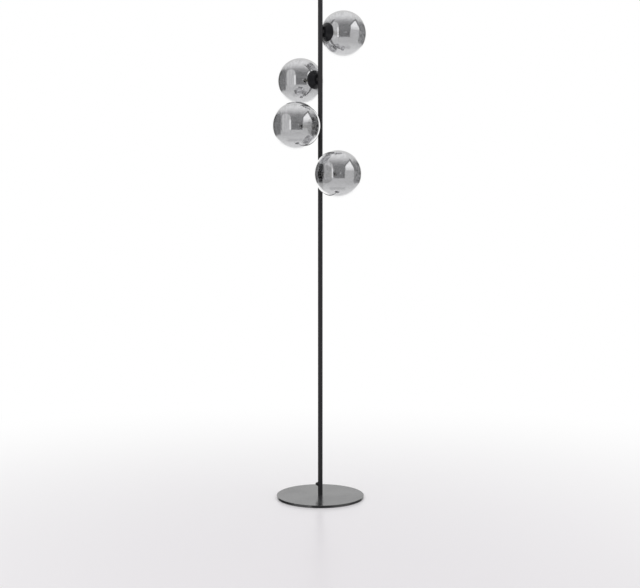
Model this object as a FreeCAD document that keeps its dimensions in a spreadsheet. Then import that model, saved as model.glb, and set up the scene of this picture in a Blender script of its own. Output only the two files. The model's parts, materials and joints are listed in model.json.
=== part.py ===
"""Globe floor lamp: a slim black pole on a round plate, with four smoked mirror-glass globes in black cups.

Origin on the pole's axis at the floor, +Z up. The pole and base are turned about Z. Each globe's pieces are
drawn along +X, as distances from the pole's axis, and then turned to their own azimuth and height.
"""
import FreeCAD, Part
import math
import os
import re
import Sketcher

V = FreeCAD.Vector
Z_AXIS = V(0, 0, 1)
X_AXIS = V(1, 0, 0)

# ---------------------------------------------------------------- driving sizes, in mm and degrees
SIZES = {
    # base
    "total_height": 1700.0,
    "base_diameter": 300.0,
    "base_thickness": 8.0,
    "base_edge_round": 0.8,
    "pad_thickness": 1.0,
    "pad_inset": 3.0,
    "screw_diameter": 8.0,
    "screw_head_diameter": 16.0,
    "screw_length": 26.0,
    "screw_recess": 0.2,
    "screw_gap": 0.15,
    "screw_key": 5.0,
    "screw_key_depth": 2.6,
    # pole
    "pole_diameter": 16.0,
    "pole_wall": 1.5,
    "joint_below_globe": 101.0,
    "plug_length": 26.0,
    "plug_hole_depth": 21.0,
    "coupler_length": 60.0,
    "coupler_wall": 1.4,
    "fit_gap": 0.05,
    "cap_thickness": 2.0,
    "cap_spigot": 10.0,
    "cap_round": 0.4,
    # cord gland
    "gland_height": 36.0,
    "gland_azimuth": 150.0,
    "gland_reach": 8.5,
    "gland_root_diameter": 15.2,
    "gland_tip_diameter": 8.2,
    "gland_bore_diameter": 6.2,
    "gland_wall": 1.8,
    "gland_tail": 1.5,
    # leads
    "lead_diameter": 2.6,
    "lead_lane": 2.85,
    "lead_bend_radius": 8.0,
    "splice_height": 53.0,
    "splice_length": 24.0,
    "splice_gap": 0.5,
    # arm
    "globe_drop": 110.0,
    "globe_step": 160.0,
    "stem_length": 5.2,
    "stem_diameter": 14.0,
    "nipple_diameter": 10.0,
    "nipple_bore": 7.0,
    "hole_gap": 0.1,
    "weld_gap": 0.02,
    "nut_thickness": 3.0,
    "nut_flats": 14.0,
    # cup
    "cup_diameter": 64.0,
    "cup_depth": 17.6,
    "cup_wall": 1.2,
    "cup_margin": 2.3,
    "cup_skirt": 3.5,
    "cup_shoulder_round": 5.0,
    "cup_back_round": 4.0,
    "rim_gap": 0.4,
    # gallery, seal and collar
    "thread_diameter": 29.4,
    "thread_clearance": 0.08,
    "thread_length": 6.7,
    "gallery_wall": 1.5,
    "floor_clearance": 0.8,
    "seat_setback": 2.6,
    "seat_thickness": 1.2,
    "seal_thickness": 2.2,
    "seal_clearance": 0.3,
    "seal_inset": 1.0,
    "face_gap": 0.2,
    "collar_wall": 1.8,
    "collar_length": 8.0,
    "glue_gap": 0.1,
    # glass
    "globe_diameter": 160.0,
    "glass_wall": 2.0,
    # lampholder and bulb
    "holder_diameter": 17.0,
    "holder_length": 23.0,
    "holder_gap": 0.4,
    "holder_thread": 5.0,
    "pin_spacing": 9.0,
    "pin_diameter": 2.0,
    "pin_gap": 0.8,
    "pocket_width": 4.0,
    "pocket_height": 3.4,
    "pocket_depth": 14.0,
    "contact_width": 3.0,
    "contact_sheet": 0.4,
    "contact_gap": 0.05,
    "bulb_gap": 0.3,
    "bulb_base_diameter": 17.6,
    "bulb_base_length": 12.0,
    "bulb_glass_diameter": 18.0,
    "bulb_glass_length": 38.4,
    "bulb_glass_wall": 0.9,
    "bulb_column_diameter": 10.0,
    "bulb_column_length": 27.0,
}
GLOBE_AZIMUTHS = (41.25, 130.0, 220.0, 304.0)  # from the top globe down
LOWEST = len(GLOBE_AZIMUTHS)
for number, azimuth in enumerate(GLOBE_AZIMUTHS, 1):
    SIZES[f"globe_azimuth_{number}"] = azimuth

# ---------------------------------------------------------------- sizes worked out from them
DERIVED = {
    "base_top": "pad_thickness + base_thickness",
    "pole_radius": "pole_diameter / 2",
    "bore_radius": "pole_radius - pole_wall",
    "joint_height": f"globe_height_{LOWEST} - joint_below_globe",
    "lower_length": "joint_height - base_top",
    "cap_bottom": "total_height - cap_thickness",
    "screw_bottom": "pad_thickness + screw_recess",
    "screw_head_height": "(screw_head_diameter - screw_diameter) / 2",
    "gland_level": "base_top + gland_height",
    "gland_tip": "pole_radius + gland_reach",
    "gland_start": "bore_radius - gland_tail",
    "gland_spigot_radius": "gland_bore_diameter / 2 + gland_wall",
    "splice_bottom": "base_top + splice_height",
    "splice_top": "splice_bottom + splice_length",
    "nipple_start": "bore_radius - hole_gap",
    "nipple_radius": "nipple_diameter / 2",
    "cup_back": "pole_radius + stem_length",
    "cup_floor": "cup_back + cup_wall",
    "cup_rim": "cup_back + cup_depth",
    "cup_radius": "cup_diameter / 2",
    "cup_back_radius": "thread_diameter / 2 + cup_margin",
    "globe_radius": "globe_diameter / 2",
    "globe_centre": "cup_rim + rim_gap + sqrt(globe_radius ^ 2 - (cup_radius - cup_wall) ^ 2)",
    "gallery_floor": "cup_floor + gallery_wall",
    "thread_radius": "thread_diameter / 2",
    "seat_back": "cup_floor + seat_setback",
    "seat_front": "seat_back + seat_thickness",
    "seal_back": "seat_front + face_gap",
    "seal_front": "seal_back + seal_thickness",
    "neck_back": "seal_front + face_gap",
    "gallery_front": "neck_back + thread_length",
    "collar_inner": "thread_radius + thread_clearance",
    "collar_outer": "collar_inner + collar_wall",
    "collar_front": "neck_back + collar_length",
    "neck_inner": "collar_outer + glue_gap",
    "neck_outer": "neck_inner + glass_wall",
    "seal_outer": "neck_outer - seal_inset",
    "holder_back": "gallery_floor + nut_thickness + holder_gap",
    "holder_radius": "holder_diameter / 2",
    "holder_front": "holder_back + holder_length",
    "nipple_end": "holder_back + holder_thread",
    "recess_floor": "nipple_end + face_gap",
    "pocket_back": "holder_front - pocket_depth",
    "pin_end": "pocket_back + pin_gap",
    "bulb_back": "holder_front + bulb_gap",
    "bulb_glass_back": "bulb_back + bulb_base_length",
    "bulb_tip": "bulb_glass_back + bulb_glass_length",
    "bulb_glass_radius": "bulb_glass_diameter / 2",
}
for number in range(1, LOWEST + 1):
    DERIVED[f"globe_height_{number}"] = f"total_height - globe_drop - {number - 1} * globe_step"
WORD = re.compile(r"[a-z][a-z_0-9]*")
NOT_SIZES = {"sqrt", "placement", "vector", "rotation"}


def linked(formula):
    """A formula in size names, as an expression that reads the sheet."""

    def expand(match):
        word = match.group(0)
        if word in DERIVED:
            return "(" + linked(DERIVED[word]) + ")"
        return word if word in NOT_SIZES else "Sizes." + word

    return WORD.sub(expand, str(formula))


doc = FreeCAD.newDocument("GlobeFloorLamp")
sheet = doc.addObject("Spreadsheet::Sheet", "Sizes")
for row, (alias, number) in enumerate(SIZES.items(), 1):
    sheet.set(f"A{row}", str(number))
    sheet.setAlias(f"A{row}", alias)
doc.recompute()


def value(formula):
    """A formula's number, for shapes and for where a sketch starts."""
    return float(sheet.evalExpression(linked(formula)))


# ---------------------------------------------------------------- helpers
NODES = []


def node(thing, label):
    """Marks a finished piece, which is written to a file of its own."""
    thing.Label = label
    NODES.append(thing)
    return thing


def bind(thing, **links):
    for prop, formula in links.items():
        thing.setExpression(prop, linked(formula))


def on_arm(thing, number):
    """Turns a piece drawn along +X to its globe's azimuth and lifts it to its height."""
    place = f"placement(vector(0; 0; globe_height_{number}); rotation(globe_azimuth_{number}; 0; 0))"
    bind(thing, Placement=place)
    return thing


def rod(name, start, end, radius):
    """A round bar along Z, from one height to another."""
    bar = doc.addObject("Part::Cylinder", name)
    bind(bar, Radius=radius, Height=f"({end}) - ({start})")
    bar.setExpression("Placement.Base.z", linked(start))
    return bar


def arm_rod(name, start, end, radius):
    """A round bar along X, between two distances from the pole's axis."""
    bar = doc.addObject("Part::Cylinder", name)
    place = f"placement(vector({start}; 0; 0); rotation(0; 90; 0))"
    bind(bar, Radius=radius, Height=f"({end}) - ({start})", Placement=place)
    return bar


def block(name, corner, lengths):
    """A box from its lowest corner and its three lengths."""
    box = doc.addObject("Part::Box", name)
    bind(box, Length=lengths[0], Width=lengths[1], Height=lengths[2])
    bind(box, Placement="placement(vector(%s; %s; %s); rotation(0; 0; 0))" % tuple(corner))
    return box


def joined(name, things):
    fuse = doc.addObject("Part::MultiFuse", name)
    fuse.Shapes = things
    return fuse


def cut(name, base, *tools):
    """One solid less one or more others."""
    result = doc.addObject("Part::Cut", name)
    result.Base = base
    result.Tool = tools[0] if len(tools) == 1 else joined(name + "Tools", list(tools))
    return result


def group(name, things):
    """Several separate solids that share one node."""
    compound = doc.addObject("Part::Compound", name)
    compound.Links = things
    return compound


def origin_plane(body, role):
    return [f for f in body.Origin.OriginFeatures if f.Role == role][0]


def sketch_on(body, name, role):
    sketch = body.newObject("Sketcher::SketchObject", name)
    sketch.AttachmentSupport = (origin_plane(body, role), [""])
    sketch.MapMode = "FlatFace"
    return sketch


def fix_point(sketch, geometry, point, at):
    """Holds a sketch point at two formulas."""
    for kind, axis, formula in (("DistanceX", -2, at[0]), ("DistanceY", -1, at[1])):
        number = value(formula)
        if formula == "0":
            sketch.addConstraint(Sketcher.Constraint("PointOnObject", geometry, point, axis))
        else:
            index = sketch.addConstraint(Sketcher.Constraint(kind, geometry, point, number))
            sketch.setExpression(f"Constraints[{index}]", linked(formula))


def outline(sketch, corners):
    """A closed outline of straight lines through its corners."""
    points = [V(value(x), value(y), 0) for x, y in corners]
    count = len(points)
    for i in range(count):
        sketch.addGeometry(Part.LineSegment(points[i], points[(i + 1) % count]))
    for i in range(count):
        sketch.addConstraint(Sketcher.Constraint("Coincident", i, 2, (i + 1) % count, 1))
        fix_point(sketch, i, 1, corners[i])


def circle(sketch, radius, at=("0", "0")):
    centre = V(value(at[0]), value(at[1]), 0)
    index = sketch.addGeometry(Part.Circle(centre, Z_AXIS, value(radius)))
    number = sketch.addConstraint(Sketcher.Constraint("Radius", index, value(radius)))
    sketch.setExpression(f"Constraints[{number}]", linked(radius))
    if at == ("0", "0"):
        sketch.addConstraint(Sketcher.Constraint("Coincident", index, 3, -1, 1))
    else:
        fix_point(sketch, index, 3, at)


def revolve(body, sketch, axis, kind="PartDesign::Revolution"):
    turned = body.newObject(kind, sketch.Name + "Turn")
    turned.Profile = sketch
    turned.ReferenceAxis = (sketch, [axis])
    turned.Angle = 360.0
    return turned


def turned_piece(name, corners, role, axis):
    """A body made by turning one outline about an axis."""
    body = doc.addObject("PartDesign::Body", name)
    sketch = sketch_on(body, name + "Profile", role)
    outline(sketch, corners)
    revolve(body, sketch, axis)
    return body


def round_rims(body, name, rims, radius):
    """Rounds the circular edges that lie at the given (distance along, radius) places."""
    doc.recompute()
    base = body.Tip
    wanted = [(value(along), value(size)) for along, size in rims]
    axis = X_AXIS if body.Name.endswith("Spun") else Z_AXIS
    found = []
    for index, edge in enumerate(base.Shape.Edges, 1):
        if not isinstance(edge.Curve, Part.Circle):
            continue
        here = (edge.Curve.Center.dot(axis), edge.Curve.Radius)
        if any(math.dist(here, place) < 0.01 for place in wanted):
            found.append(f"Edge{index}")
    fillet = body.newObject("PartDesign::Fillet", name)
    fillet.Base = (base, found)
    fillet.setExpression("Radius", linked(radius))
    return fillet


# ---------------------------------------------------------------- base
def make_base_plate():
    body = doc.addObject("PartDesign::Body", "BasePlate")
    body.setExpression("Placement.Base.z", linked("pad_thickness"))
    disc = sketch_on(body, "BaseDisc", "XY_Plane")
    circle(disc, "base_diameter / 2")
    pad = body.newObject("PartDesign::Pad", "BasePad")
    pad.Profile = disc
    bind(pad, Length="base_thickness")
    round_rims(body, "BaseEdge", [("base_thickness", "base_diameter / 2")], "base_edge_round")
    sink = sketch_on(body, "BaseSink", "XZ_Plane")
    head = "screw_head_diameter / 2 + screw_recess + screw_gap"
    shank = "screw_diameter / 2 + screw_gap"
    neck = "screw_head_height + screw_recess"
    top = "base_thickness"
    outline(sink, [("0", "0"), (head, "0"), (shank, neck), (shank, top), ("0", top)])
    revolve(body, sink, "V_Axis", "PartDesign::Groove")
    node(body, "base_plate")


def make_base_pad():
    node(rod("BaseFoam", "0", "pad_thickness", "base_diameter / 2 - pad_inset"), "base_pad")


def make_foot_screw():
    head = doc.addObject("Part::Cone", "ScrewHead")
    bind(head, Radius1="screw_head_diameter / 2", Radius2="screw_diameter / 2", Height="screw_head_height")
    head.setExpression("Placement.Base.z", linked("screw_bottom"))
    shank = rod("ScrewShank", "screw_bottom + screw_head_height", "screw_bottom + screw_length", "screw_diameter / 2")
    key = doc.addObject("Part::Prism", "ScrewKey")
    key.Polygon = 6
    bind(key, Circumradius="screw_key / sqrt(3)", Height="screw_key_depth")
    key.setExpression("Placement.Base.z", linked("screw_bottom"))
    node(cut("FootScrew", joined("ScrewBody", [head, shank]), key), "foot_screw")


# ---------------------------------------------------------------- pole
def make_pole_plug():
    plug = rod("PlugBar", "base_top", "base_top + plug_length", "bore_radius - fit_gap")
    hole = rod("PlugHole", "base_top", "base_top + plug_hole_depth", "screw_diameter / 2 + fit_gap")
    node(cut("PolePlug", plug, hole), "pole_foot_plug")


def make_pole_lower():
    """Its side hole for the cord gland is drawn on its own +X side, and the tube is turned to face it."""
    body = doc.addObject("PartDesign::Body", "PoleLower")
    bind(body, Placement="placement(vector(0; 0; base_top); rotation(gland_azimuth; 0; 0))")
    ring = sketch_on(body, "LowerRing", "XY_Plane")
    circle(ring, "pole_radius")
    circle(ring, "bore_radius")
    pad = body.newObject("PartDesign::Pad", "LowerTube")
    pad.Profile = ring
    bind(pad, Length="lower_length")
    port = sketch_on(body, "LowerPort", "YZ_Plane")
    circle(port, "gland_spigot_radius + hole_gap", ("0", "gland_height"))
    pocket = body.newObject("PartDesign::Pocket", "LowerPocket")
    pocket.Profile = port
    pocket.Reversed = True
    bind(pocket, Length="pole_diameter")
    node(body, "pole_lower")


def make_pole_coupler():
    body = doc.addObject("PartDesign::Body", "PoleCoupler")
    body.setExpression("Placement.Base.z", linked("joint_height - coupler_length / 2"))
    ring = sketch_on(body, "CouplerRing", "XY_Plane")
    circle(ring, "bore_radius - fit_gap")
    circle(ring, "bore_radius - fit_gap - coupler_wall")
    pad = body.newObject("PartDesign::Pad", "CouplerTube")
    pad.Profile = ring
    bind(pad, Length="coupler_length")
    node(body, "pole_coupler")


def make_pole_upper():
    tube = rod("UpperBar", "joint_height", "cap_bottom", "pole_radius")
    holes = [rod("UpperBore", "joint_height", "cap_bottom", "bore_radius")]
    for number in range(1, LOWEST + 1):
        hole = doc.addObject("Part::Cylinder", f"ArmHole{number}")
        bind(hole, Radius="nipple_radius + hole_gap", Height="pole_diameter")
        turn = f"rotation(globe_azimuth_{number}; 90; 0)"
        bind(hole, Placement=f"placement(vector(0; 0; globe_height_{number}); {turn})")
        holes.append(hole)
    node(cut("PoleUpper", tube, *holes), "pole_upper")


def make_pole_cap():
    spigot = "bore_radius - fit_gap"
    low = "cap_bottom - cap_spigot"
    corners = [("0", low), (spigot, low), (spigot, "cap_bottom")]
    corners += [("pole_radius", "cap_bottom"), ("pole_radius", "total_height"), ("0", "total_height")]
    body = turned_piece("PoleCap", corners, "XZ_Plane", "V_Axis")
    round_rims(body, "CapEdge", [("total_height", "pole_radius")], "cap_round")
    node(body, "pole_cap")


def make_cord_gland():
    """A tapered bush on the pole's back, whose saddle hugs the tube and whose spigot goes through its wall."""
    neck = "gland_root_diameter / 2"
    saddle = arm_rod("GlandSaddle", "gland_start", "pole_radius", neck)
    cone = doc.addObject("Part::Cone", "GlandCone")
    bind(cone, Radius1=neck, Radius2="gland_tip_diameter / 2", Height="gland_reach")
    bind(cone, Placement="placement(vector(pole_radius; 0; 0); rotation(0; 90; 0))")
    pole = rod("GlandPole", "-gland_root_diameter", "gland_root_diameter", "pole_radius + weld_gap")
    outside = cut("GlandOutside", joined("GlandForm", [saddle, cone]), pole)
    spigot = arm_rod("GlandSpigot", "gland_start", "pole_radius + gland_wall", "gland_spigot_radius")
    bore = arm_rod("GlandBore", "0", "gland_tip + gland_wall", "gland_bore_diameter / 2")
    gland = cut("CordGland", joined("GlandWhole", [outside, spigot]), bore)
    bind(gland, Placement="placement(vector(0; 0; gland_level); rotation(gland_azimuth; 0; 0))")
    node(gland, "cord_gland")


def make_splice():
    """The potted joint where the four leads meet the cord, inside the pole above the gland."""
    splice = rod("Splice", "splice_bottom", "splice_top", "bore_radius - splice_gap")
    node(splice, "lead_splice")


# ---------------------------------------------------------------- one arm: cup, gallery, lampholder
def make_arm(number):
    """A hollow threaded tube with a stem that is welded to the pole's wall."""
    pole = rod(f"ArmPole{number}", "-stem_diameter", "stem_diameter", "pole_radius + weld_gap")
    stem = cut(f"ArmStem{number}", arm_rod(f"ArmStemBar{number}", "0", "cup_back", "stem_diameter / 2"), pole)
    nipple = arm_rod(f"ArmNipple{number}", "nipple_start", "nipple_end", "nipple_radius")
    bore = arm_rod(f"ArmBore{number}", "0", "nipple_end + face_gap", "nipple_bore / 2")
    arm = cut(f"Arm{number}", joined(f"ArmWhole{number}", [stem, nipple]), bore)
    node(on_arm(arm, number), f"arm_tube_{number}")


def make_cup(number):
    """Spun from sheet: a flat back, a flared side, and a short straight skirt at the rim."""
    flare = "cup_rim - cup_skirt"
    hole = "nipple_radius + hole_gap"
    slope = "(cup_radius - cup_back_radius) / (cup_depth - cup_skirt)"
    slant = f"cup_wall * sqrt(1 + ({slope}) ^ 2)"
    floor_radius = f"cup_back_radius + cup_wall * {slope} - {slant}"
    turn = f"cup_back + (cup_radius - cup_wall - cup_back_radius + {slant}) / ({slope})"
    inner = "cup_radius - cup_wall"
    corners = [("cup_back", hole), ("cup_back", "cup_back_radius"), (flare, "cup_radius")]
    corners += [("cup_rim", "cup_radius"), ("cup_rim", inner), (turn, inner)]
    corners += [("cup_floor", floor_radius), ("cup_floor", hole)]
    body = turned_piece(f"Cup{number}Spun", corners, "XY_Plane", "H_Axis")
    round_rims(body, f"CupShoulder{number}", [(flare, "cup_radius")], "cup_shoulder_round")
    round_rims(body, f"CupShoulderIn{number}", [(turn, inner)], "cup_shoulder_round - cup_wall")
    round_rims(body, f"CupBack{number}", [("cup_back", "cup_back_radius")], "cup_back_round")
    round_rims(body, f"CupBackIn{number}", [("cup_floor", floor_radius)], "cup_back_round - cup_wall")
    node(on_arm(body, number), f"cup_{number}")


def make_locknut(number):
    prism = doc.addObject("Part::Prism", f"NutPrism{number}")
    prism.Polygon = 6
    bind(prism, Circumradius="nut_flats / sqrt(3)", Height="nut_thickness")
    bind(prism, Placement="placement(vector(gallery_floor; 0; 0); rotation(0; 90; 0))")
    hole = arm_rod(f"NutHole{number}", "cup_back", "nipple_end", "nipple_radius + fit_gap")
    return on_arm(cut(f"Nut{number}", prism, hole), number)


def make_gallery(number):
    """A turned cup with an outside thread for the globe, and a shoulder behind it that the seal lies on."""
    hole = "nipple_radius + hole_gap"
    inner = "thread_radius - gallery_wall"
    foot = "cup_back_radius - cup_wall - floor_clearance"
    corners = [("cup_floor", hole), ("cup_floor", foot), ("gallery_floor", foot)]
    corners += [("gallery_floor", "thread_radius"), ("seat_back", "thread_radius")]
    corners += [("seat_back", "seal_outer"), ("seat_front", "seal_outer"), ("seat_front", "thread_radius")]
    corners += [("gallery_front", "thread_radius"), ("gallery_front", inner)]
    corners += [("gallery_floor", inner), ("gallery_floor", hole)]
    body = turned_piece(f"Gallery{number}Spun", corners, "XY_Plane", "H_Axis")
    node(on_arm(body, number), f"gallery_{number}")


def pin_side(side, half_width):
    """Where a thing of this half width starts across the holder, beside one of its two pins."""
    return f"{side} * pin_spacing / 2 - {half_width}"


def make_lampholder(number):
    """A ceramic barrel: a threaded recess behind, and two pockets for the bulb's pins in front."""
    barrel = arm_rod(f"HolderBarrel{number}", "holder_back", "holder_front", "holder_radius")
    recess = arm_rod(f"HolderRecess{number}", "cup_back", "recess_floor", "nipple_radius + fit_gap")
    tools = [recess]
    for name, side in (("L", -1), ("R", 1)):
        corner = ("pocket_back", pin_side(side, "pocket_width / 2"), "-pocket_height / 2")
        lengths = ("pocket_depth + face_gap", "pocket_width", "pocket_height")
        tools.append(block(f"HolderPocket{name}{number}", corner, lengths))
    holder = cut(f"Holder{number}", barrel, *tools)
    node(on_arm(holder, number), f"lampholder_{number}")


def make_contacts(number):
    """Two sprung channels of thin sheet, one round each pin."""
    back = "pocket_back + face_gap"
    inner = "pin_diameter + 2 * contact_gap"
    outer = f"{inner} + 2 * contact_sheet"
    length = "pocket_depth - 2 * face_gap"
    channels = []
    for name, side in (("L", -1), ("R", 1)):
        corner = (back, pin_side(side, "contact_width / 2"), f"-({outer}) / 2")
        sheet_block = block(f"ContactOuter{name}{number}", corner, (length, "contact_width", outer))
        corner = (f"{back} + contact_sheet", pin_side(side, "contact_width"), f"-({inner}) / 2")
        hollow = block(f"ContactInner{name}{number}", corner, (length, "2 * contact_width", inner))
        channels.append(cut(f"Contact{name}{number}", sheet_block, hollow))
    return on_arm(group(f"ContactPair{number}", channels), number)


def make_lead(number):
    """The lead from a lampholder, in along its arm and down its own lane in the pole to the splice."""
    lane, bend, radius = value("lead_lane"), value("lead_bend_radius"), value("lead_diameter / 2")
    outer, fall = value("recess_floor"), value("splice_top") - value(f"globe_height_{number}")
    start, turn_in = V(outer, 0, 0), V(lane + bend, 0, 0)
    middle = V(lane + bend * (1 - math.sqrt(0.5)), 0, -bend * (1 - math.sqrt(0.5)))
    turn_out, end = V(lane, 0, -bend), V(lane, 0, fall)
    edges = [Part.LineSegment(start, turn_in).toShape(), Part.Arc(turn_in, middle, turn_out).toShape()]
    edges.append(Part.LineSegment(turn_out, end).toShape())
    section = Part.Wire([Part.makeCircle(radius, start, X_AXIS)])
    lead = doc.addObject("Part::Feature", f"Lead{number}")
    lead.Shape = Part.Wire(edges).makePipeShell([section], True, False)
    turn = FreeCAD.Rotation(Z_AXIS, value(f"globe_azimuth_{number}"))
    lead.Placement = FreeCAD.Placement(V(0, 0, value(f"globe_height_{number}")), turn)
    length = outer - turn_in.x + bend * math.pi / 2 + turn_out.z - fall
    full = math.pi * radius**2 * length
    print(f"lead {number}: bend radius {bend:.1f}, length {length:.0f}, volume ratio {lead.Shape.Volume / full:.5f}")
    node(lead, f"wiring_lead_{number}")


# ---------------------------------------------------------------- one globe and its bulb
def make_globe(number):
    """A blown glass ball with a short neck: two balls and two bars about one axis."""
    parts = []
    for name, wall in (("Out", "0"), ("In", "glass_wall")):
        ball = doc.addObject("Part::Sphere", f"Ball{name}{number}")
        bind(ball, Radius=f"globe_radius - {wall}")
        ball.setExpression("Placement.Base.x", linked("globe_centre"))
        start = "neck_back" if name == "Out" else "neck_back - glass_wall"
        bar = arm_rod(f"Neck{name}{number}", start, "globe_centre", f"neck_outer - {wall}")
        parts.append(joined(f"Blown{name}{number}", [ball, bar]))
    node(on_arm(cut(f"Globe{number}", *parts), number), f"globe_{number}")


def make_ring(name, number, start, end, inner, outer, label):
    """A plain ring about the arm's axis."""
    bar = arm_rod(f"{name}Bar{number}", start, end, outer)
    hole = arm_rod(f"{name}Hole{number}", f"{start} - face_gap", f"{end} + face_gap", inner)
    node(on_arm(cut(f"{name}{number}", bar, hole), number), label)


def make_bulb_glass(number):
    """The bulb's hollow cover, round at its tip."""
    parts = []
    for name, wall in (("Out", "0"), ("In", "bulb_glass_wall")):
        radius = f"bulb_glass_radius - {wall}"
        tip_centre = "bulb_tip - bulb_glass_radius"
        start = "bulb_glass_back" if name == "Out" else "bulb_glass_back - face_gap"
        bar = arm_rod(f"BulbBar{name}{number}", start, tip_centre, radius)
        tip = doc.addObject("Part::Sphere", f"BulbTip{name}{number}")
        bind(tip, Radius=radius)
        tip.setExpression("Placement.Base.x", linked(tip_centre))
        parts.append(joined(f"BulbForm{name}{number}", [bar, tip]))
    node(on_arm(cut(f"BulbGlass{number}", *parts), number), f"bulb_glass_{number}")


def make_bulb_base(number):
    """The bulb's body, with the column that carries its light chips inside the cover."""
    disc = arm_rod(f"BulbDisc{number}", "bulb_back", "bulb_glass_back", "bulb_base_diameter / 2")
    end = "bulb_glass_back + bulb_column_length"
    column = arm_rod(f"BulbColumn{number}", "bulb_back", end, "bulb_column_diameter / 2")
    node(on_arm(joined(f"BulbBase{number}", [disc, column]), number), f"bulb_base_{number}")


def make_bulb_pins(number):
    pins = []
    for name, side in (("L", -1), ("R", 1)):
        pin = doc.addObject("Part::Cylinder", f"Pin{name}{number}")
        bind(pin, Radius="pin_diameter / 2", Height="bulb_back - pin_end")
        across = f"{side} * pin_spacing / 2"
        bind(pin, Placement=f"placement(vector(pin_end; {across}; 0); rotation(0; 90; 0))")
        pins.append(pin)
    node(on_arm(group(f"BulbPins{number}", pins), number), f"bulb_pins_{number}")


# ---------------------------------------------------------------- the whole lamp
def make_lamp():
    make_base_pad()
    make_base_plate()
    make_foot_screw()
    make_pole_plug()
    make_pole_lower()
    make_pole_coupler()
    make_pole_upper()
    make_pole_cap()
    make_cord_gland()
    make_splice()
    numbers = range(1, LOWEST + 1)
    for number in numbers:
        make_arm(number)
        make_cup(number)
        make_gallery(number)
        make_lampholder(number)
        make_lead(number)
        seal = ("seal_back", "seal_front", "thread_radius + seal_clearance", "seal_outer")
        make_ring("Seal", number, *seal, f"seal_{number}")
        collar = ("neck_back", "collar_front", "collar_inner", "collar_outer")
        make_ring("Collar", number, *collar, f"collar_{number}")
        make_globe(number)
        make_bulb_base(number)
        make_bulb_glass(number)
        make_bulb_pins(number)
    node(group("Locknuts", [make_locknut(number) for number in numbers]), "arm_locknuts")
    node(group("Contacts", [make_contacts(number) for number in numbers]), "holder_contacts")


def check_and_write():
    doc.recompute()
    for thing in doc.Objects:
        if {"Invalid", "Error"} & set(thing.State):
            raise SystemExit(f"{thing.Label} failed: {thing.State}")
    os.makedirs("parts", exist_ok=True)
    for thing in NODES:
        shape = thing.Shape
        if shape.isNull() or not shape.isValid() or not shape.Solids:
            raise SystemExit(f"{thing.Label} has no valid solid")
        shape.exportStep(f"parts/{thing.Label}.step")
    print(f"{len(NODES)} nodes, {sum(len(thing.Shape.Solids) for thing in NODES)} solids")


make_lamp()
check_and_write()
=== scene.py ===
"""Looks of the globe floor lamp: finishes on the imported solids, and finely turned glass, cups and threads.

Lengths are in metres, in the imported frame. A piece on an arm is turned about +X, as distances along the arm from
the pole's axis and radii from the arm's axis, and its mesh is then moved to the arm's height and azimuth.
"""

import json
import math

import bpy
from mathutils import Matrix, Vector


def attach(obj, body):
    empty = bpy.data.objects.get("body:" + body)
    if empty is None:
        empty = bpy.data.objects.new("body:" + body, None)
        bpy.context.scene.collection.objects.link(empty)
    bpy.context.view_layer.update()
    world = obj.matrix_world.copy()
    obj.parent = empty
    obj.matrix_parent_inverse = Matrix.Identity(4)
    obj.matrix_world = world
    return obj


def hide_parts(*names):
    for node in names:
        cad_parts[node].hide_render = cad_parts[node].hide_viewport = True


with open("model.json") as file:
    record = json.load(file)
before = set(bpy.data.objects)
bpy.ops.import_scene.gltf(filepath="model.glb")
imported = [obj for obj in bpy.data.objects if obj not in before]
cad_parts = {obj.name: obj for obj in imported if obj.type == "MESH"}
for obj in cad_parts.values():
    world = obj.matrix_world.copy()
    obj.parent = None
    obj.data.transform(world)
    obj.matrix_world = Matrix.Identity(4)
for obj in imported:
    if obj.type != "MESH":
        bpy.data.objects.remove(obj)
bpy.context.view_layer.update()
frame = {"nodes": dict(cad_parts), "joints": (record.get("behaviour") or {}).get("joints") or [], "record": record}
nodes = frame["nodes"]

# ---------------------------------------------------------------- the photograph's view
CAMERA_PLACE = (-0.001, -4.15, 1.052)
CAMERA_TILT = 3.61  # degrees down
CAMERA_LENS = 68.63  # millimetres, as the sensor's width
CAMERA_SENSOR = 36
CAMERA_SHIFT = -0.04

# ---------------------------------------------------------------- lengths and counts
MM = 0.001
HAIR = 0.01 * MM  # less than any step between the corners of a node
EDGE = 0.1 * MM  # corners this near to an end belong to it
CHAMFER = 0.3 * MM
AROUND = 128  # points round a turned piece
GLASS_AROUND = 192
GLASS_ARC = 90  # steps along a ball, from neck to tip
NECK = 3 * MM  # straight part of the glass neck
LEAD = 4 * MM  # of the globe's thread, for each turn
THREAD_STEP = 0.2 * MM  # between a thread's points along the arm
FLANK = 0.07  # a thread's flank, as a share of its lead
GROOVE_DEPTH, GROOVE_HALF = 0.8 * MM, 0.24  # the half widths are shares of the lead
RIDGE_HEIGHT, RIDGE_HALF = 0.6 * MM, 0.19
GALLERY_FLOOR = 1.5 * MM
CHIP_PITCH = 4 * MM
CHIPS_AROUND = 8
ARMS = range(1, 5)


def make_camera():
    camera = bpy.data.cameras.new("photo_camera")
    camera.sensor_width = CAMERA_SENSOR
    camera.lens = CAMERA_LENS
    camera.shift_y = CAMERA_SHIFT
    camera.clip_end = 100
    place = bpy.data.objects.new("photo_camera", camera)
    place.location = CAMERA_PLACE
    place.rotation_euler = (math.radians(90 - CAMERA_TILT), 0, 0)
    bpy.context.scene.collection.objects.link(place)
    bpy.context.scene.camera = place


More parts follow.
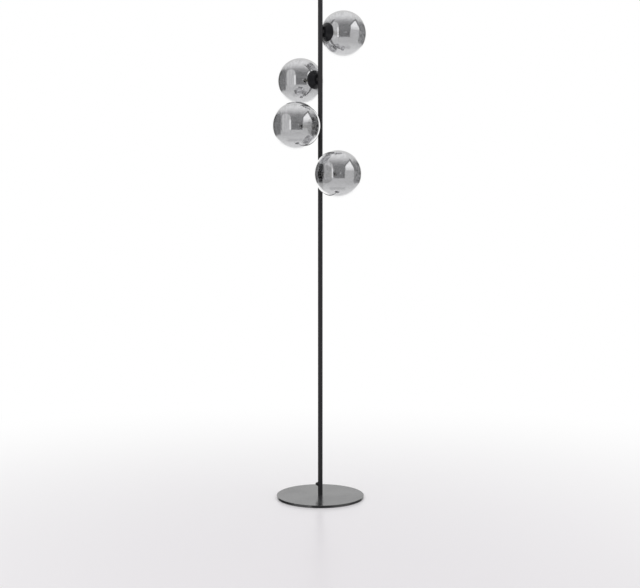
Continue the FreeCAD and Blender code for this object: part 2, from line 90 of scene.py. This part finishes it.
# ---------------------------------------------------------------- node graphs
class Graph:
    """Short ways to add nodes to a material's or the world's tree."""

    def __init__(self, tree):
        self.tree = tree

    def put(self, socket, value):
        if isinstance(value, bpy.types.NodeSocket):
            self.tree.links.new(value, socket)
        else:
            socket.default_value = value

    def add(self, kind, inputs=None, **settings):
        node = self.tree.nodes.new(kind)
        for name, value in settings.items():
            setattr(node, name, value)
        for name, value in (inputs or {}).items():
            self.put(node.inputs[name], value)
        return node

    def math(self, operation, a, b=0.0, c=0.0):
        return self.add("ShaderNodeMath", {0: a, 1: b, 2: c}, operation=operation).outputs[0]

    def step(self, value, low, high, start=0.0, end=1.0):
        """A smooth change from start to end as value goes from low to high."""
        inputs = {"Value": value, "From Min": low, "From Max": high, "To Min": start, "To Max": end}
        return self.add("ShaderNodeMapRange", inputs, interpolation_type="SMOOTHSTEP").outputs[0]

    def mix(self, factor, a, b):
        return self.add("ShaderNodeMix", {0: factor, 2: a, 3: b}).outputs[0]

    def blend(self, factor, a, b):
        node = self.add("ShaderNodeMix", {0: factor, 6: a, 7: b}, data_type="RGBA")
        return node.outputs[2]

    def vector(self, x, y, z):
        return self.add("ShaderNodeCombineXYZ", {0: x, 1: y, 2: z}).outputs[0]

    def noise(self, where, scale, detail=2.0, roughness=0.5, **inputs):
        inputs = {"Vector": where, "Scale": scale, "Detail": detail, "Roughness": roughness, **inputs}
        return self.add("ShaderNodeTexNoise", inputs).outputs["Fac"]


class Finish(Graph):
    """A material with one Principled shader."""

    def __init__(self, name, color, roughness, **sockets):
        self.material = bpy.data.materials.new(name)
        self.material.use_nodes = True
        super().__init__(self.material.node_tree)
        self.shader = self.tree.nodes["Principled BSDF"]
        self.put(self.shader.inputs["Base Color"], (*color, 1.0))
        self.put(self.shader.inputs["Roughness"], roughness)
        for socket, value in sockets.items():
            self.put(self.shader.inputs[socket.replace("_", " ")], value)
        self.where = self.add("ShaderNodeTexCoord").outputs["Object"]

    def set(self, socket, value):
        self.put(self.shader.inputs[socket], value)

    def vary_color(self, amount, dark, light):
        self.set("Base Color", self.blend(amount, (*dark, 1.0), (*light, 1.0)))

    def bump(self, height, strength, distance, rounding=0.0):
        """A fine relief, over edges that look rounded by the given radius."""
        inputs = {"Height": height, "Strength": strength, "Distance": distance}
        if rounding:
            inputs["Normal"] = self.add("ShaderNodeBevel", {"Radius": rounding}, samples=4).outputs[0]
        self.set("Normal", self.add("ShaderNodeBump", inputs).outputs[0])

    def edges(self, radius):
        """One along the piece's sharp edges, where handling rubs it, and zero elsewhere."""
        soft = self.add("ShaderNodeBevel", {"Radius": radius}, samples=4).outputs[0]
        flat = self.add("ShaderNodeNewGeometry").outputs["True Normal"]
        same = self.add("ShaderNodeVectorMath", {0: soft, 1: flat}, operation="DOT_PRODUCT").outputs["Value"]
        return self.step(same, 0.80, 0.97, 1.0, 0.0)


def powder_coat(name, color, roughness, grain=0.12, gloss=0.5):
    """Baked paint: a fine orange-peel skin, with slow changes of gloss, and a faint polish on its edges."""
    finish = Finish(name, color, roughness, Specular_IOR_Level=gloss)
    peel = finish.noise(finish.where, 700, 3.0, 0.6)
    cloud = finish.noise(finish.where, 9, 3.0)
    worn = finish.math("MULTIPLY", finish.edges(0.0006), finish.step(cloud, 0.35, 0.65, 0.3, 0.9))
    dark, light = [c * 0.88 for c in color], [c * 1.14 for c in color]
    tone = finish.blend(finish.mix(0.35, cloud, peel), (*dark, 1.0), (*light, 1.0))
    polished = (0.16, 0.16, 0.165, 1.0)
    finish.set("Base Color", finish.blend(finish.math("MULTIPLY", worn, 0.35), tone, polished))
    matt_paint = finish.step(cloud, 0.3, 0.7, roughness - 0.04, roughness + 0.05)
    finish.set("Roughness", finish.math("SUBTRACT", matt_paint, finish.math("MULTIPLY", worn, 0.08)))
    finish.bump(peel, grain, 0.0002, rounding=0.0004)
    return finish.material


def turned_metal(name, color, roughness, azimuth):
    """Lathe marks: rings along an arm of the given azimuth, broken up a little round it."""
    finish = Finish(name, color, roughness, Metallic=1.0)
    inputs = {"Vector": finish.where, "Rotation": (0.0, 0.0, azimuth), "Scale": (1.0, 50.0, 50.0)}
    stretched = finish.add("ShaderNodeMapping", inputs, vector_type="TEXTURE").outputs[0]
    lines = finish.noise(stretched, 3500, 2.0)
    finish.vary_color(lines, [c * 0.85 for c in color], color)
    finish.set("Roughness", finish.step(lines, 0.3, 0.7, roughness - 0.06, roughness + 0.08))
    finish.bump(lines, 0.25, 0.0001, rounding=0.0002)
    return finish.material


def plated_steel(name, color):
    finish = Finish(name, color, 0.35, Metallic=1.0)
    patches = finish.noise(finish.where, 160, 4.0, 0.6)
    finish.vary_color(patches, [c * 0.75 for c in color], color)
    finish.set("Roughness", finish.step(patches, 0.3, 0.7, 0.25, 0.45))
    finish.bump(finish.noise(finish.where, 1200, 2.0), 0.15, 0.0001, rounding=0.0002)
    return finish.material


def matt(name, color, roughness, scale, strength=0.3, depth=0.0003):
    """Rubber, foam, ceramic or plain plastic: one grain at one scale."""
    finish = Finish(name, color, roughness)
    grain = finish.noise(finish.where, scale, 3.0, 0.6)
    finish.vary_color(grain, [c * 0.85 for c in color], [min(c * 1.12, 1.0) for c in color])
    finish.set("Roughness", finish.step(grain, 0.3, 0.7, roughness - 0.07, roughness + 0.07))
    finish.bump(grain, strength, depth, rounding=0.0003)
    return finish.material


def mirror_glass(name):
    """The outside of the glass: a half mirror that turns into a full one where it is seen edge on."""
    finish = Finish(name, (0.74, 0.74, 0.745), 0.0, Transmission_Weight=1.0, IOR=1.5)
    edge = finish.add("ShaderNodeLayerWeight", {"Blend": 0.5}).outputs["Facing"]
    rim = finish.step(edge, 0.5, 0.72)
    inside = finish.add("ShaderNodeNewGeometry").outputs["Backfacing"]
    finish.set("Metallic", finish.mix(inside, finish.mix(rim, 0.60, 0.95), 0.08))
    finish.vary_color(rim, (0.74, 0.74, 0.75), (0.97, 0.97, 0.97))
    finish.bump(finish.noise(finish.where, 22, 1.0), 0.08, 0.002)
    return finish.material


def smoked_glass(name):
    """The inside of the glass, which carries the smoke tint."""
    finish = Finish(name, (0.60, 0.60, 0.61), 0.0, Transmission_Weight=1.0, IOR=1.5)
    finish.bump(finish.noise(finish.where, 30, 1.0), 0.05, 0.001)
    return finish.material


def clear_glass(name):
    finish = Finish(name, (0.95, 0.95, 0.94), 0.03, Transmission_Weight=1.0, IOR=1.5)
    finish.bump(finish.noise(finish.where, 60, 1.0), 0.05, 0.0005)
    return finish.material


MATERIALS = {
    "base_steel": powder_coat("satin_black_base", (0.032, 0.032, 0.034), 0.20, 0.04, 1.0),
    "black_steel": powder_coat("satin_black_pole", (0.030, 0.029, 0.031), 0.50, 0.12, 0.20),
    "black_cup": powder_coat("satin_black_cup", (0.012, 0.012, 0.014), 0.36, 0.12, 0.30),
    "zinc_steel": plated_steel("zinc_plate", (0.55, 0.56, 0.58)),
    "turned_aluminium": turned_metal("turned_aluminium", (0.62, 0.62, 0.63), 0.34, 0.0),
    "holder_ceramic": matt("unglazed_ceramic", (0.74, 0.71, 0.65), 0.6, 900),
    "contact_metal": plated_steel("nickel_plate", (0.66, 0.62, 0.52)),
    "lead_sheath": matt("silicone_sheath", (0.62, 0.61, 0.57), 0.5, 500),
    "seal_rubber": matt("seal_rubber", (0.03, 0.03, 0.03), 0.7, 1500),
    "foam": matt("closed_cell_foam", (0.03, 0.03, 0.03), 0.9, 2200, 0.6),
    "black_plastic": matt("moulded_black_plastic", (0.025, 0.025, 0.025), 0.42, 1300, 0.2),
    "bulb_body": matt("bulb_body_plastic", (0.34, 0.34, 0.33), 0.4, 1300, 0.15),
    "bulb_cover": clear_glass("bulb_clear_cover"),
    "smoked_glass": mirror_glass("mirror_glass_outside"),
}
GLASS_INSIDE = smoked_glass("smoked_glass_inside")
PHOSPHOR = matt("chip_phosphor", (0.62, 0.47, 0.12), 0.5, 2500, 0.1)


# ---------------------------------------------------------------- arms and turned pieces
def arm_joint(number):
    """The joint that the arm's globe unscrews on, which lies along the arm."""
    return next(j for j in frame["joints"] if j["name"] == f"globe_{number}_unscrew")


def arm_azimuth(number):
    x, y, _ = arm_joint(number)["axis"]
    return math.atan2(y, x)


def arm_place(number):
    """The arm's height and azimuth."""
    up = Matrix.Translation((0, 0, arm_joint(number)["pos_m"][2]))
    return up @ Matrix.Rotation(arm_azimuth(number), 4, "Z")


ARM_METAL = {n: turned_metal(f"turned_aluminium_{n}", (0.62, 0.62, 0.63), 0.34, arm_azimuth(n)) for n in ARMS}


def arm_points(node, number):
    """A CAD node's corners as (distance along the arm, distance from its axis)."""
    back = arm_place(number).inverted()
    points = [back @ v.co for v in nodes[node].data.vertices]
    return [(p.x, math.hypot(p.y, p.z)) for p in points]


def arc(centre, radius, start, end, steps):
    """Points on a circle's arc, in degrees from the outward direction of the arm."""
    angles = [math.radians(start + (end - start) * i / steps) for i in range(steps + 1)]
    return [(centre[0] + radius * math.cos(a), centre[1] + radius * math.sin(a)) for a in angles]


def turned(name, profile, number, body, *materials, inside=None, thread=None, around=AROUND, crease=40.0):
    """A mesh made by turning a closed profile about the arm's axis.

    inside(i) tells which profile spans take the second material. thread(x, r, angle) may move a point's radius.
    A point on the axis becomes one vertex.
    """
    verts, faces, marks, rings = [], [], [], []
    for along, radius in profile:
        points = around if radius else 1
        rings.append([len(verts) + k % points for k in range(around)])
        for k in range(points):
            angle = 2 * math.pi * k / around
            r = thread(along, radius, angle) if thread else radius
            verts.append((along, r * math.cos(angle), r * math.sin(angle)))
    count = len(profile)
    for i in range(count):
        j = (i + 1) % count
        for k in range(around):
            n = (k + 1) % around
            face = tuple(dict.fromkeys((rings[i][k], rings[i][n], rings[j][n], rings[j][k])))
            if len(face) > 2:
                faces.append(face)
                marks.append(1 if inside and inside(i) else 0)
    mesh = bpy.data.meshes.new(name)
    mesh.from_pydata(verts, [], faces)
    mesh.validate()
    for material in materials:
        mesh.materials.append(material)
    if inside:
        mesh.polygons.foreach_set("material_index", marks)
    mesh.transform(arm_place(number))
    mesh.update()
    piece = bpy.data.objects.new(name, mesh)
    bpy.context.scene.collection.objects.link(piece)
    smooth(piece, crease)
    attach(piece, body)
    return piece


def smooth(piece, angle):
    """Smooth shading, with creases where two faces meet at more than the angle, in degrees."""
    piece.data.shade_smooth()
    piece.data.set_sharp_from_angle(angle=math.radians(angle))


def make_globe(number):
    """The blown glass: a ball, a drawn-in neck with a fire-polished lip, and one wall thickness throughout."""
    points = arm_points(f"globe_{number}", number)
    lip, tip = min(p[0] for p in points), max(p[0] for p in points)
    neck = [p[1] for p in points if p[0] < lip + HAIR]
    outer, inner = max(neck), min(neck)
    wall = outer - inner
    middle = frame_middle(number)
    ball = tip - middle
    start_out = 180 - math.degrees(math.asin(outer / ball))
    start_in = 180 - math.degrees(math.asin(inner / (ball - wall)))
    lip_round = wall * 0.45
    profile = [(lip + lip_round, outer), (lip + NECK, outer)]
    profile += arc((middle, 0), ball, start_out, 0.0, GLASS_ARC)[:-1] + [(tip, 0.0)]
    outside = len(profile)
    profile += [(tip - wall, 0.0)] + arc((middle, 0), ball - wall, 0.0, start_in, GLASS_ARC)[1:]
    profile += [(lip + NECK, inner), (lip + lip_round, inner)]
    inside = len(profile)
    profile += arc((lip + lip_round, (outer + inner) / 2), wall / 2, 270, 90, 8)[1:-1]
    piece = turned(
        f"globe_glass_{number}", profile, number, f"globe_{number}", MATERIALS["smoked_glass"], GLASS_INSIDE,
        inside=lambda i: outside - 1 <= i < inside, around=GLASS_AROUND, crease=60.0,
    )
    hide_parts(f"globe_{number}")


def frame_middle(number):
    """The globe's centre, as a distance along its arm."""
    x, y, _ = arm_joint(number)["pos_m"]
    return math.hypot(x, y)


def steps(start, end, step):
    """Evenly spaced numbers from start to end, about a step apart."""
    count = max(1, round(abs(end - start) / step))
    return [start + (end - start) * i / count for i in range(count + 1)]


def winding(along, angle, half_width):
    """How far a point is into the thread's turn: one on its crest, falling to zero over its flanks."""
    phase = (along / LEAD - angle / (2 * math.pi)) % 1.0
    return min(1.0, max(0.0, (half_width - abs(phase - 0.5)) / FLANK))


def make_gallery(number):
    """The turned cup that the globe screws on: a floor, a shoulder for the seal, and a coarse right-hand thread."""
    node = f"gallery_{number}"
    points = arm_points(node, number)
    back, front = min(p[0] for p in points), max(p[0] for p in points)
    rim = [r for along, r in points if along > front - EDGE]
    outer, inner = max(rim), min(rim)
    hole = min(r for along, r in points)
    foot = max(r for along, r in points if along < back + EDGE)
    shoulder = max(r for along, r in points)
    seat = [along for along, r in points if r > shoulder - EDGE]
    low, high = min(seat), max(seat)
    floor = back + GALLERY_FLOOR
    run_out = 0.8 * MM  # between shoulder and thread, and along the thread's start
    thread_start = high + run_out
    profile = [(back, hole), (back, foot), (floor, foot), (floor, outer), (low, outer)]
    profile += [(low, shoulder - CHAMFER), (low + CHAMFER, shoulder), (high - CHAMFER, shoulder)]
    profile += [(high, shoulder - CHAMFER), (high, outer)]
    profile += [(along, outer) for along in steps(thread_start, front - CHAMFER, THREAD_STEP)]
    profile += [(front, outer - CHAMFER), (front, inner), (floor, inner), (floor, hole)]

    def cut_thread(along, radius, angle):
        if abs(radius - outer) > HAIR or along < thread_start:
            return radius
        full = min(1.0, (along - thread_start) / run_out)
        return radius - GROOVE_DEPTH * full * winding(along, angle, GROOVE_HALF)

    metal = ARM_METAL[number]
    piece = turned(f"gallery_turned_{number}", profile, number, "root", metal, thread=cut_thread)
    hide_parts(node)


def make_collar(number):
    """The threaded metal collar in the globe's neck, whose ridges run in the gallery's grooves."""
    node = f"collar_{number}"
    points = arm_points(node, number)
    back, front = min(p[0] for p in points), max(p[0] for p in points)
    inner, outer = min(p[1] for p in points), max(p[1] for p in points)
    run_out = 1.2 * MM
    profile = [(back, inner), (back, outer - CHAMFER), (back + CHAMFER, outer), (front - CHAMFER, outer)]
    profile += [(front, outer - CHAMFER), (front, inner)]
    profile += [(along, inner) for along in steps(front - THREAD_STEP, back + THREAD_STEP, THREAD_STEP)]

    def raise_ridge(along, radius, angle):
        if abs(radius - inner) > HAIR:
            return radius
        full = min(1.0, (along - back) / run_out, (front - along) / run_out)
        return radius - RIDGE_HEIGHT * max(0.0, full) * winding(along, angle, RIDGE_HALF)

    metal = ARM_METAL[number]
    piece = turned(f"collar_turned_{number}", profile, number, f"globe_{number}", metal, thread=raise_ridge)
    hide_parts(node)


def make_chips(number):
    """Light-emitting chips in rows round the bulb's column, and a dark cap on its end."""
    points = arm_points(f"bulb_base_{number}", number)
    end = max(p[0] for p in points)
    column = max(r for along, r in points if along > end - EDGE)
    shelf = max(along for along, r in points if r > column + 1 * MM)
    verts, faces = [], []
    for row in steps(shelf + CHIP_PITCH, end - 6.5 * MM, CHIP_PITCH):
        for side in range(CHIPS_AROUND):
            turn = Matrix.Rotation(2 * math.pi * side / CHIPS_AROUND, 3, "X")
            start = len(verts)
            for x in (-1.4 * MM, 1.4 * MM):
                for y in (-0.8 * MM, 0.8 * MM):
                    for z in (column - 0.3 * MM, column + 0.35 * MM):
                        verts.append(turn @ Vector((row + x, y, z)))
            for face in ((0, 1, 3, 2), (4, 6, 7, 5), (0, 4, 5, 1), (2, 3, 7, 6), (1, 5, 7, 3), (0, 2, 6, 4)):
                faces.append(tuple(start + i for i in face))
    mesh = bpy.data.meshes.new(f"bulb_chips_{number}")
    mesh.from_pydata(verts, [], faces)
    mesh.materials.append(PHOSPHOR)
    mesh.transform(arm_place(number))
    chips = bpy.data.objects.new(f"bulb_chips_{number}", mesh)
    bpy.context.scene.collection.objects.link(chips)
    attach(chips, f"bulb_{number}")
    skirt, proud = end - 3.5 * MM, column + 0.25 * MM
    cap = [(skirt, column - 0.2 * MM), (skirt, proud), (end - 0.5 * MM, proud)]
    cap += [(end + 0.1 * MM, column - 0.4 * MM), (end + 0.1 * MM, 0.0), (end - 0.3 * MM, 0.0)]
    piece = turned(f"bulb_cap_{number}", cap, number, f"bulb_{number}", MATERIALS["black_plastic"], around=48)


# ---------------------------------------------------------------- finishes on the CAD nodes
def dress_nodes():
    slots = {part["node"]: part["material_slot"] for part in frame["record"]["subparts"]}
    for name, piece in nodes.items():
        piece.data.materials.clear()
        piece.data.materials.append(MATERIALS[slots[name]])


# ---------------------------------------------------------------- room
def make_floor():
    """A pale floor that fades into the white background at some distance."""
    mesh = bpy.data.meshes.new("floor")
    rings, around = (0.2, 0.5, 1.0, 2.0, 4.0), 96
    round_it = [2 * math.pi * k / around for k in range(around)]
    verts = [(r * math.cos(a), r * math.sin(a), 0) for r in rings for a in round_it]
    faces = [tuple(range(around))]
    for i in range(len(rings) - 1):
        for k in range(around):
            n = (k + 1) % around
            inner, outer = i * around, (i + 1) * around
            faces.append((inner + k, outer + k, outer + n, inner + n))
    mesh.from_pydata(verts, [], faces)
    floor = bpy.data.objects.new("floor", mesh)
    floor.location.z = -0.2 * MM
    bpy.context.scene.collection.objects.link(floor)
    finish = Finish("pale_floor", (0.785, 0.762, 0.787), 0.3, Specular_IOR_Level=0.45)
    grain = finish.noise(finish.where, 240, 2.0)
    finish.vary_color(grain, (0.775, 0.752, 0.777), (0.795, 0.772, 0.797))
    finish.bump(grain, 0.02, 0.0002)
    front = (0.0, 0.9, 0.0)  # the floor fades round a point this far in front of the lamp
    ahead = finish.add("ShaderNodeVectorMath", {0: finish.where, 1: front}, operation="ADD").outputs[0]
    away = finish.add("ShaderNodeVectorMath", {0: ahead}, operation="LENGTH").outputs["Value"]
    path = finish.add("ShaderNodeLightPath")
    seen = finish.math("MAXIMUM", path.outputs["Is Camera Ray"], path.outputs["Is Transmission Ray"])
    clear = finish.add("ShaderNodeBsdfTransparent")
    white = finish.add("ShaderNodeEmission", {"Strength": 1.0})
    backdrop = finish.add("ShaderNodeMixShader", {0: seen, 1: clear.outputs[0], 2: white.outputs[0]})
    inputs = {0: finish.step(away, 0.1, 2.8), 1: finish.shader.outputs[0], 2: backdrop.outputs[0]}
    mixed = finish.add("ShaderNodeMixShader", inputs)
    output = finish.tree.nodes["Material Output"]
    finish.tree.links.new(mixed.outputs[0], output.inputs["Surface"])
    floor.data.materials.append(finish.material)
    floor.visible_glossy = False


def make_world():
    """White to the camera and through glass, even to matt surfaces, and a studio room to glossy ones.

    The room is drawn on a mirror ball that faces the camera's side: across and up are where a direction shows on it.
    """
    world = bpy.data.worlds.new("studio")
    bpy.context.scene.world = world
    world.use_nodes = True
    g = Graph(world.node_tree)
    way = g.add("ShaderNodeTexCoord").outputs["Generated"]
    half = g.add("ShaderNodeVectorMath", {0: way, 1: (0.0, -1.0, 0.0)}, operation="ADD").outputs[0]
    half = g.add("ShaderNodeVectorMath", {0: half}, operation="NORMALIZE").outputs[0]
    split = g.add("ShaderNodeSeparateXYZ", {0: half})
    across, up = split.outputs["X"], split.outputs["Z"]
    out = g.math("SQRT", g.math("ADD", g.math("MULTIPLY", across, across), g.math("MULTIPLY", up, up)))

    def panel(x0, x1, z0, z1, soft=0.02):
        """One inside a rectangle of the mirror ball, and zero outside it."""
        sides = [g.step(across, x0 - soft, x0 + soft), g.step(across, x1 - soft, x1 + soft, 1.0, 0.0)]
        sides += [g.step(up, z0 - soft, z0 + soft), g.step(up, z1 - soft, z1 + soft, 1.0, 0.0)]
        product = sides[0]
        for side in sides[1:]:
            product = g.math("MULTIPLY", product, side)
        return product

    def slanted(nx, nz, at, soft=0.015):
        """One on the far side of a slanted line."""
        along = g.math("ADD", g.math("MULTIPLY", across, nx), g.math("MULTIPLY", up, nz))
        return g.step(along, at - soft, at + soft, 1.0, 0.0)

    def capsule(x, z0, z1, radius, soft=0.02):
        """One inside an upright capsule."""
        over = g.math("MAXIMUM", g.math("SUBTRACT", up, z1), g.math("SUBTRACT", z0, up))
        over = g.math("MAXIMUM", over, 0.0)
        aside = g.math("SUBTRACT", across, x)
        square = g.math("ADD", g.math("MULTIPLY", aside, aside), g.math("MULTIPLY", over, over))
        return g.step(g.math("SQRT", square), radius - soft, radius + soft, 1.0, 0.0)

    # ceiling, wall and floor, from the top of the ball down
    streaks = g.noise(g.vector(g.math("MULTIPLY", across, 9.0), 0.0, g.math("MULTIPLY", up, 2.0)), 1.6, 3.0)
    spots = g.noise(g.vector(g.math("MULTIPLY", across, 7.0), 0.0, g.math("MULTIPLY", up, 5.0)), 1.7, 3.0, 0.7)
    ceiling = g.mix(g.step(streaks, 0.35, 0.65), 0.80, 1.08)
    ceiling = g.mix(g.step(out, 0.82, 0.94), ceiling, 0.58)
    room = g.mix(g.step(up, 0.36, 0.74), 0.14, ceiling)
    low = g.mix(g.step(up, -0.80, -0.30), 0.90, 0.55)
    room = g.mix(g.step(up, -0.22, -0.16, 1.0, 0.0), room, low)
    room = g.mix(panel(-0.35, 0.30, -0.66, -0.54, 0.06), room, 0.52)
    # dim clutter at both sides
    side = g.step(g.math("ABSOLUTE", across), 0.61, 0.67)
    side = g.math("MULTIPLY", side, g.step(up, 0.42, 0.56, 1.0, 0.0))
    side = g.math("MULTIPLY", side, g.step(up, -0.42, -0.30))
    side_tone = g.mix(g.step(across, -0.2, 0.2), 0.02, 0.12)
    side_tone = g.math("MULTIPLY", side_tone, g.step(spots, 0.40, 0.58, 0.15, 1.7))
    room = g.mix(side, room, side_tone)
    # dark middle, with one small lamp in it
    room = g.mix(panel(-0.20, 0.28, -0.16, 0.34, 0.03), room, 0.05)
    room = g.mix(panel(-0.14, 0.26, -0.16, 0.12), room, 0.0)
    room = g.mix(capsule(0.10, 0.02, 0.02, 0.020, 0.012), room, 0.7)
    # arched window on the left, with a bright edge
    panes = g.mix(g.step(streaks, 0.4, 0.6), 0.54, 0.68)
    room = g.mix(capsule(-0.40, -0.08, 0.29, 0.19), room, panes)
    room = g.mix(panel(-0.265, -0.205, -0.18, 0.22, 0.014), room, 1.25)
    # slanted window on the right, in a dark frame
    room = g.mix(panel(0.28, 0.66, -0.20, 0.22, 0.03), room, 0.54)
    frame_line = g.math("MULTIPLY", slanted(0.86, 0.50, 0.735), slanted(-0.78, 0.62, 0.01))
    room = g.mix(g.math("MULTIPLY", frame_line, panel(0.27, 0.74, 0.13, 0.66)), room, 0.04)
    roof = g.math("MULTIPLY", slanted(0.86, 0.50, 0.675, 0.025), slanted(-0.78, 0.62, -0.04, 0.025))
    pane = g.mix(g.step(up, 0.10, 0.34), 0.75, 1.35)
    room = g.mix(g.math("MULTIPLY", roof, panel(0.30, 0.66, 0.13, 0.62)), room, pane)
    # the white background round the ball's limb
    limb = g.math("ADD", out, g.step(up, -0.65, -0.35, 0.06, 0.0))
    limb = g.math("MULTIPLY", g.step(limb, 0.935, 0.965), g.step(up, 0.55, 0.75, 1.0, 0.0))
    limb = g.math("MAXIMUM", limb, g.step(out, 0.960, 0.985))
    glossy = g.mix(limb, room, 1.0)

    path = g.add("ShaderNodeLightPath")
    seen = g.math("MAXIMUM", path.outputs["Is Camera Ray"], path.outputs["Is Transmission Ray"])
    strength = g.mix(path.outputs["Is Glossy Ray"], 0.72, glossy)
    strength = g.mix(seen, strength, 1.0)
    shader = world.node_tree.nodes["Background"]
    shader.inputs["Color"].default_value = (1.0, 1.0, 1.0, 1.0)
    g.put(shader.inputs["Strength"], strength)


def make_lamp(name, location, size, power):
    """A large soft box that points at the object, and isn't seen in its reflections."""
    light = bpy.data.lights.new(name, "AREA")
    light.size, light.energy = size, power
    lamp = bpy.data.objects.new(name, light)
    lamp.location = location
    aim = Vector((0, 0, 0.8)) - Vector(location)
    lamp.rotation_euler = aim.to_track_quat("-Z", "Y").to_euler()
    lamp.visible_glossy = False
    lamp.visible_camera = False
    lamp.visible_transmission = False
    bpy.context.scene.collection.objects.link(lamp)


def main():
    bpy.context.scene.view_settings.view_transform = "Standard"
    make_camera()
    make_world()
    make_floor()
    make_lamp("key_softbox", (-1.6, -1.8, 2.8), 1.6, 26)
    make_lamp("fill_softbox", (2.0, -0.6, 2.2), 1.6, 14)
    dress_nodes()
    for number in ARMS:
        make_gallery(number)
        make_collar(number)
        make_chips(number)
        make_globe(number)


main()
